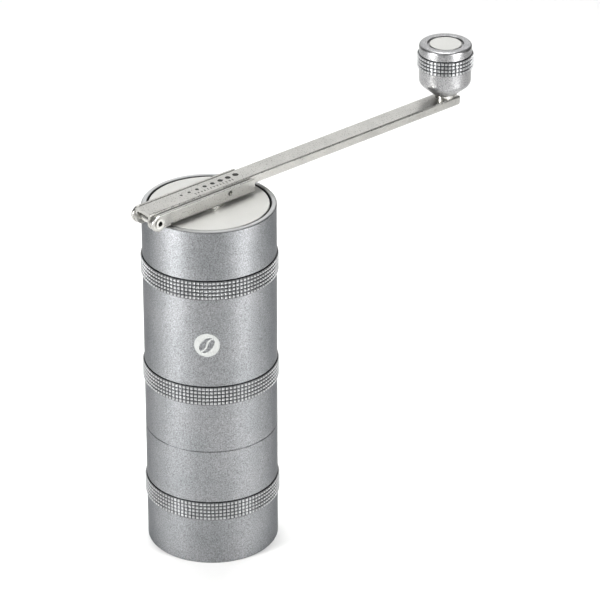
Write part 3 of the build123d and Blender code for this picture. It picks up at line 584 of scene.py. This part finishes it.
class GrinderKnob(bpy.types.Operator):
    """Makes the turned knob body and its knurled band"""

    bl_idname = "grinder.knob"
    bl_label = "Knob"

    def execute(self, context):
        sizes, colours = context.scene.grinder_sizes, context.scene.grinder_colours
        centre = (KNOB_LOW.x + KNOB_HIGH.x) / 2
        low, high = KNOB_LOW.z / MM, KNOB_HIGH.z / MM
        crest = (KNOB_HIGH.x - centre) / MM
        root = crest - sizes.knurl_depth / MM
        band_top = low + KNOB_BAND_TOP
        band_bottom = band_top - KNOB_BAND_HEIGHT
        # A third number is the radius that rounds the corner
        outline = [
            (BUSH_SEAT_RADIUS, low, 0.15),
            (KNOB_FOOT_RADIUS, low, 0.25),
            (KNOB_WALL_RADIUS, low + KNOB_CONE_HEIGHT, 3.2),
            (KNOB_WALL_RADIUS, band_bottom + 0.4),
            (KNOB_HEAD_RADIUS, band_bottom + 1.0),
            (KNOB_HEAD_RADIUS, high, 1.2),
            (INLAY_RADIUS, high, 0.15),
            (INLAY_RADIUS, high - INLAY_DEPTH),
            (LEDGE_RADIUS, high - INLAY_DEPTH),
            (LEDGE_RADIUS, high - LEDGE_DEPTH),
            (WASHER_BORE_RADIUS, high - LEDGE_DEPTH),
            (WASHER_BORE_RADIUS, high - WASHER_BORE_DEPTH),
            (BUSH_SEAT_RADIUS, high - WASHER_BORE_DEPTH),
            (BUSH_SEAT_RADIUS, high - UPPER_BUSH_DEPTH),
            (AXLE_BORE_RADIUS, high - UPPER_BUSH_DEPTH),
            (AXLE_BORE_RADIUS, low + LOWER_BUSH_HEIGHT),
            (BUSH_SEAT_RADIUS, low + LOWER_BUSH_HEIGHT),
        ]
        bm = bmesh.new()
        lathe(bm, rounded(outline, steps=8), centre)
        knob = keep_mesh("turned_knob", bm)
        satin = slot_material("grip_aluminium", colours)
        finished(knob, "knob", "grip_aluminium", satin, "knob_body")
        material = knurl_finish(colours)
        band = sleeve(
            "knob_knurl", KNOB_BAND_INNER_RADIUS, root, band_bottom, band_top,
            sizes.knob_rows, sizes.ring_lip / MM, sizes.knob_columns, centre,
        )
        band = knurled(band, sizes.knurl_depth, sizes.knob_crown, material)
        band.data.shade_flat()
        finished(band, "knob", "grip_aluminium", material, "knob_body")
        return {"FINISHED"}


# ---- Laser marks -----------------------------------------------------------------------------------
BADGE_THICKNESS, BADGE_SINK = 0.08 * MM, 0.03 * MM
BADGE_STRIPS = 24
# The bean's half length, half width and crease, as shares of the badge's radius, and its turn
BEAN_LENGTH, BEAN_WIDTH, BEAN_CREASE, BEAN_TURN = 0.72, 0.47, 0.13, radians(52)
# The crease's length as a share of the bean's, and its wave as a share of the bean's half width
CREASE_LENGTH, CREASE_WAVE = 0.93, 0.22

MARK_THICKNESS, MARK_SINK = 0.06 * MM, 0.015 * MM
DOTS, FIRST_DOT, DOT_GROWTH, DOT_ROW = 8, 0.55 * MM, 0.1 * MM, 0.7 * MM
TICKS, TICK_HALF_WIDTH, TICK_HALF_LENGTH, TICK_ROW = 13, 0.2 * MM, 0.55 * MM, -1.9 * MM
FIRST_TICK, TICK_SPAN = 0.22, 0.6  # as shares of the row of marks


def flat_shape(name, loops, thickness):
    """A thin plate in X and Y from closed loops of points; a loop inside another is a hole."""
    curve = bpy.data.curves.new(name, "CURVE")
    curve.dimensions = "2D"
    curve.fill_mode = "BOTH"
    curve.extrude = thickness / 2
    for loop in loops:
        spline = curve.splines.new("POLY")
        spline.points.add(len(loop) - 1)
        for point, (x, y) in zip(spline.points, loop):
            point.co = (x, y, 0, 1)
        spline.use_cyclic_u = True
    made = bpy.data.objects.new(name, curve)
    bpy.context.scene.collection.objects.link(made)
    made = plain_mesh(made)
    bm = bmesh.new()
    bm.from_mesh(made.data)
    bmesh.ops.remove_doubles(bm, verts=bm.verts, dist=1e-7)
    bmesh.ops.recalc_face_normals(bm, faces=bm.faces)
    bm.to_mesh(made.data)
    bm.free()
    return made


def ellipse(x, y, half_length, half_width, turn=0.0, steps=48):
    """Points round an ellipse."""
    points = []
    for k in range(steps):
        a = tau * k / steps
        u, v = half_length * cos(a), half_width * sin(a)
        points.append((x + u * cos(turn) - v * sin(turn), y + u * sin(turn) + v * cos(turn)))
    return points


def bean_half(side, half_length, half_width, gap, turn, steps=28):
    """One half of a coffee bean, between its rim and its S-shaped crease."""
    rim, crease = [], []
    for k in range(steps + 1):
        a = pi * k / steps
        rim.append((half_length * cos(a), side * (gap / 2 + (half_width - gap / 2) * sin(a))))
    for k in range(1, steps):
        share = 2 * k / steps - 1
        wave = CREASE_WAVE * half_width * sin(pi * share)
        crease.append((half_length * CREASE_LENGTH * share, wave + side * gap / 2))
    loop = rim + crease
    return [(u * cos(turn) - v * sin(turn), u * sin(turn) + v * cos(turn)) for u, v in loop]


class GrinderBadge(bpy.types.Operator):
    """Makes the round laser mark of a coffee bean on the barrel"""

    bl_idname = "grinder.badge"
    bl_label = "Badge"

    def execute(self, context):
        sizes, colours = context.scene.grinder_sizes, context.scene.grinder_colours
        size = sizes.badge_radius
        loops = [ellipse(0, 0, size, size, steps=96)]
        for side in (1, -1):
            bean = BEAN_LENGTH * size, BEAN_WIDTH * size, BEAN_CREASE * size
            loops.append(bean_half(side, *bean, BEAN_TURN))
        made = flat_shape("bean_badge", loops, BADGE_THICKNESS)
        bm = bmesh.new()
        bm.from_mesh(made.data)
        # The flat badge is cut into upright strips, so that it can bend round the barrel
        for k in range(1, BADGE_STRIPS):
            across = size * (2 * k / BADGE_STRIPS - 1)
            everything = [*bm.verts, *bm.edges, *bm.faces]
            bmesh.ops.bisect_plane(bm, geom=everything, plane_co=(across, 0, 0), plane_no=(1, 0, 0))
        surface = BODY_RADIUS - BADGE_SINK
        for vert in bm.verts:
            angle = sizes.badge_angle + vert.co.x / BODY_RADIUS
            reach = surface + vert.co.z
            vert.co = (reach * cos(angle), reach * sin(angle), sizes.badge_height + vert.co.y)
        bm.to_mesh(made.data)
        bm.free()
        material = laser_mark("whitened_anodising", colours.pale_mark, 0.0)
        finished(made, "barrel", "shell_aluminium", material)
        return {"FINISHED"}


class GrinderArmMarks(bpy.types.Operator):
    """Makes the laser marks on the arm: growing dots over a row of ticks, fine to coarse"""

    bl_idname = "grinder.arm_marks"
    bl_label = "Arm marks"

    def execute(self, context):
        sizes, colours = context.scene.grinder_sizes, context.scene.grinder_colours
        start, span = -sizes.mark_start, sizes.mark_length
        loops = []
        for k in range(DOTS):
            radius = FIRST_DOT + DOT_GROWTH * k
            x = start + span * (k + 0.5) / DOTS
            loops.append(ellipse(x, DOT_ROW, radius, radius, steps=24))
        for k in range(TICKS):
            x = start + span * (FIRST_TICK + TICK_SPAN * k / (TICKS - 1))
            left, right = x - TICK_HALF_WIDTH, x + TICK_HALF_WIDTH
            low, high = TICK_ROW - TICK_HALF_LENGTH, TICK_ROW + TICK_HALF_LENGTH
            loops.append([(left, low), (right, low), (right, high), (left, high)])
        made = flat_shape("grind_scale_marks", loops, MARK_THICKNESS)
        for vert in made.data.vertices:
            vert.co.z += ARM_TOP - MARK_SINK
        material = laser_mark("annealed_steel_mark", colours.dark_mark, 0.6)
        finished(made, "arm", "crank_steel", material)
        return {"FINISHED"}


# ---- Finishes of the CAD pieces, and the stage -----------------------------------------------------
FLOOR_HALF_SIDE = 3.0
WORLD_STRENGTH = 0.08
LIT_POINT = Vector((0, 0, 0.08))
LIGHTS = (
    # name, turn from the camera and height in degrees, distance, width, height, power in watts,
    # angle of the beam in degrees, and how far behind the grinder the light is aimed
    ("left_softbox", -57, 2, 0.7, 0.16, 0.8, 7.2, 120, 0.0),
    ("right_softbox", 58, 2, 0.7, 0.16, 0.8, 5.5, 120, 0.0),
    ("back_card", 180, 30, 1.5, 2.4, 1.1, 9.5, 180, 0.0),
    ("front_card", 0, 45, 1.5, 2.4, 0.9, 4.0, 180, 0.0),
    ("top_softbox", 180, 76, 1.5, 0.9, 0.9, 2.3, 50, 0.24),
)

VIEW_TURN, VIEW_PITCH = radians(-41.82), radians(27.70)
LENS, SENSOR_WIDTH = 213.9, 36.0
# Where the middle of the view is, to the right of the grinder's axis and up, and how far off
VIEW_ACROSS, VIEW_RISE, VIEW_DISTANCE = 34.85 * MM, 92.07 * MM, 1432.1 * MM


class GrinderFinishes(bpy.types.Operator):
    """Gives every CAD piece the material of its slot"""

    bl_idname = "grinder.finishes"
    bl_label = "Finishes"

    def execute(self, context):
        colours = context.scene.grinder_colours
        for row in frame["record"]["subparts"]:
            material = slot_material(row["material_slot"], colours)
            for place in frame["nodes"][row["node"]].material_slots:
                place.material = material
        return {"FINISHED"}


class GrinderStage(bpy.types.Operator):
    """Makes the floor, the soft lights and the camera"""

    bl_idname = "grinder.stage"
    bl_label = "Stage"

    def execute(self, context):
        scene, colours = context.scene, context.scene.grinder_colours
        bm = bmesh.new()
        bmesh.ops.create_grid(bm, x_segments=8, y_segments=8, size=FLOOR_HALF_SIDE)
        floor = keep_mesh("floor", bm)
        made, tree, shader, place = new_material("pale_floor_paint", colours.floor)
        cloud = grain(tree, place, 8.0)
        inputs = {"Value": cloud, "From Min": 0.3, "From Max": 0.7, "To Min": 0.6, "To Max": 0.7}
        dullness = node(tree, "ShaderNodeMapRange", inputs).outputs["Result"]
        tree.links.new(dullness, shader.inputs["Roughness"])
        floor.data.materials.append(made)

        world = bpy.data.worlds.new("studio")
        scene.world = world
        world.use_nodes = True
        glow = world.node_tree.nodes["Background"].inputs
        glow["Color"].default_value = (1, 1, 1, 1)
        glow["Strength"].default_value = WORLD_STRENGTH
        scene.view_settings.view_transform = "Standard"

        c, s = cos(VIEW_TURN), sin(VIEW_TURN)
        for name, turn, height_angle, far, width, height, power, beam, aim in LIGHTS:
            light = bpy.data.lights.new(name, "AREA")
            light.shape = "RECTANGLE"
            light.size, light.size_y = width, height
            light.energy = power
            light.spread = radians(beam)
            lamp = bpy.data.objects.new(name, light)
            scene.collection.objects.link(lamp)
            angle, lift = VIEW_TURN + radians(turn), radians(height_angle)
            away = Vector((sin(angle) * cos(lift), -cos(angle) * cos(lift), sin(lift)))
            behind = Vector((-s, c, 0)) * aim
            lamp.location = LIT_POINT + behind + away * far
            lamp.rotation_euler = (-away).to_track_quat("-Z", "Y").to_euler()

        back = VIEW_RISE * sin(VIEW_PITCH) - VIEW_DISTANCE * cos(VIEW_PITCH)
        camera = bpy.data.cameras.new("camera")
        camera.sensor_width = SENSOR_WIDTH
        camera.lens = LENS
        seat = bpy.data.objects.new("camera", camera)
        scene.collection.objects.link(seat)
        seat.location = (
            VIEW_ACROSS * c - back * s,
            VIEW_ACROSS * s + back * c,
            VIEW_RISE * cos(VIEW_PITCH) + VIEW_DISTANCE * sin(VIEW_PITCH),
        )
        seat.rotation_euler = (pi / 2 - VIEW_PITCH, 0, VIEW_TURN)
        scene.camera = seat
        return {"FINISHED"}


PIECE_OPERATORS = (
    GrinderFinishes, GrinderGripRings, GrinderKnob, GrinderBadge, GrinderArmMarks, GrinderStage,
)


class GrinderPanel(bpy.types.Panel):
    """Lists the pieces, sizes and colours"""

    bl_idname = "VIEW3D_PT_grinder"
    bl_label = "Coffee grinder"
    bl_space_type = "VIEW_3D"
    bl_region_type = "UI"
    bl_category = "Grinder"

    def draw(self, context):
        for operator in PIECE_OPERATORS:
            self.layout.operator(operator.bl_idname)
        for group in (context.scene.grinder_sizes, context.scene.grinder_colours):
            column = self.layout.column()
            for name in group.__annotations__:
                column.prop(group, name)


CLASSES = (GrinderSizes, GrinderColours, *PIECE_OPERATORS, GrinderPanel)


def register():
    for kind in CLASSES:
        bpy.utils.register_class(kind)
    bpy.types.Scene.grinder_sizes = bpy.props.PointerProperty(type=GrinderSizes)
    bpy.types.Scene.grinder_colours = bpy.props.PointerProperty(type=GrinderColours)


def unregister():
    del bpy.types.Scene.grinder_colours
    del bpy.types.Scene.grinder_sizes
    for kind in reversed(CLASSES):
        bpy.utils.unregister_class(kind)


def main():
    register()
    for operator in PIECE_OPERATORS:
        family, name = operator.bl_idname.split(".")
        getattr(getattr(bpy.ops, family), name)()


if __name__ == "__main__":
    main()
